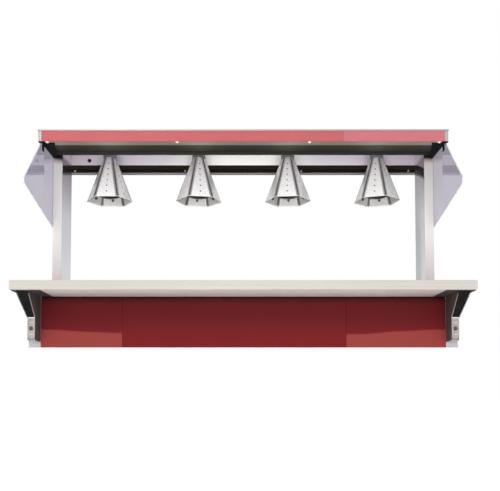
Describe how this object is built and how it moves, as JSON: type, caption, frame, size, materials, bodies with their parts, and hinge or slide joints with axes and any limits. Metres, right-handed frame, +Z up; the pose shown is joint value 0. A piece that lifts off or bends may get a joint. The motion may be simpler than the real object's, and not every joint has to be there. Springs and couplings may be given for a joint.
{
  "type": "heat lamp warmer",
  "caption": "Countertop heat lamp warmer: red base with front shelf, box posts, overhead canopy, hexagonal lamp shades that swivel, clear end guards and a toggle switch.",
  "frame": {"origin": "bottom centre of the bounding box, on the surface that the base rests on", "axes": "+Z up, +X along the length to the right as the customer sees it, -Y towards the customer"},
  "size_m": [1.692, 0.85, 0.92],
  "materials": {
    "stainless": "brushed along its length, number 4 satin",
    "polished_steel": "bright polished, slightly dimpled",
    "dark_steel": "unpolished steel, dark in the shade",
    "zinc_hardware": "bright zinc plated",
    "fascia_laminate": "light red laminate, satin",
    "body_laminate": "deep red laminate, glossy",
    "clear_acrylic": "clear with polished edges",
    "bulb_glass": "frosted face, silvered bowl",
    "porcelain": "glazed porcelain",
    "black_plastic": "matte moulded",
    "wire_insulation": "braided high temperature sleeve"
  },
  "bodies": {
    "frame": {"base_front_panel": "body_laminate", "base_side_left": "body_laminate", "base_side_right": "body_laminate", "corner_strip_left": "stainless", "corner_strip_right": "stainless", "base_rear_panel": "stainless", "base_rail_front": "stainless", "base_rail_rear": "stainless", "worktop": "stainless", "front_shelf": "stainless", "bracket_upright_left": "stainless", "bracket_upright_right": "stainless", "post_left": "stainless", "post_right": "stainless", "canopy_roof": "stainless", "canopy_header": "stainless", "fascia_trim_left": "stainless", "fascia_trim_right": "stainless", "rear_beam": "stainless", "beam_trim": "stainless", "lamp_rail": "stainless", "bracket_arm_left": "dark_steel", "bracket_arm_right": "dark_steel", "canopy_underside": "dark_steel", "canopy_arm_left": "dark_steel", "canopy_arm_right": "dark_steel", "guard_clip_left": "dark_steel", "guard_clip_right": "dark_steel", "bracket_bolt_left": "zinc_hardware", "bracket_bolt_right": "zinc_hardware", "switch_bushing": "zinc_hardware", "canopy_screw_1": "zinc_hardware", "canopy_screw_2": "zinc_hardware", "canopy_screw_3": "zinc_hardware", "canopy_screw_4": "zinc_hardware", "canopy_fascia": "fascia_laminate", "glass_guard_left": "clear_acrylic", "glass_guard_right": "clear_acrylic", "lamp_collar_1": "stainless", "lamp_socket_1": "porcelain", "lamp_bulb_1": "bulb_glass", "lamp_collar_2": "stainless", "lamp_socket_2": "porcelain", "lamp_bulb_2": "bulb_glass", "lamp_collar_3": "stainless", "lamp_socket_3": "porcelain", "lamp_bulb_3": "bulb_glass", "lamp_collar_4": "stainless", "lamp_socket_4": "porcelain", "lamp_bulb_4": "bulb_glass", "switch_body": "black_plastic", "terminal_box": "black_plastic", "power_inlet": "black_plastic", "supply_loom": "wire_insulation", "lamp_loom": "wire_insulation"},
    "lever": {"switch_lever": "zinc_hardware"},
    "shade_1": {"lamp_shade_1": "polished_steel"},
    "shade_2": {"lamp_shade_2": "polished_steel"},
    "shade_3": {"lamp_shade_3": "polished_steel"},
    "shade_4": {"lamp_shade_4": "polished_steel"}
  },
  "joints": [
    {"name": "switch_toggle", "type": "hinge", "parent": "frame", "child": "lever", "pos_m": [-0.708, 0.2598, 0.8915], "axis": [-1, 0, 0], "range_deg": [0, 44]},
    {"name": "shade_1_swivel", "type": "hinge", "parent": "frame", "child": "shade_1", "pos_m": [-0.5955, 0.168, 0.867], "axis": [0, 0, 1], "range_deg": [-45, 45]},
    {"name": "shade_2_swivel", "type": "hinge", "parent": "frame", "child": "shade_2", "pos_m": [-0.1985, 0.168, 0.867], "axis": [0, 0, 1], "range_deg": [-45, 45]},
    {"name": "shade_3_swivel", "type": "hinge", "parent": "frame", "child": "shade_3", "pos_m": [0.1985, 0.168, 0.867], "axis": [0, 0, 1], "range_deg": [-45, 45]},
    {"name": "shade_4_swivel", "type": "hinge", "parent": "frame", "child": "shade_4", "pos_m": [0.5955, 0.168, 0.867], "axis": [0, 0, 1], "range_deg": [-45, 45]}
  ]
}
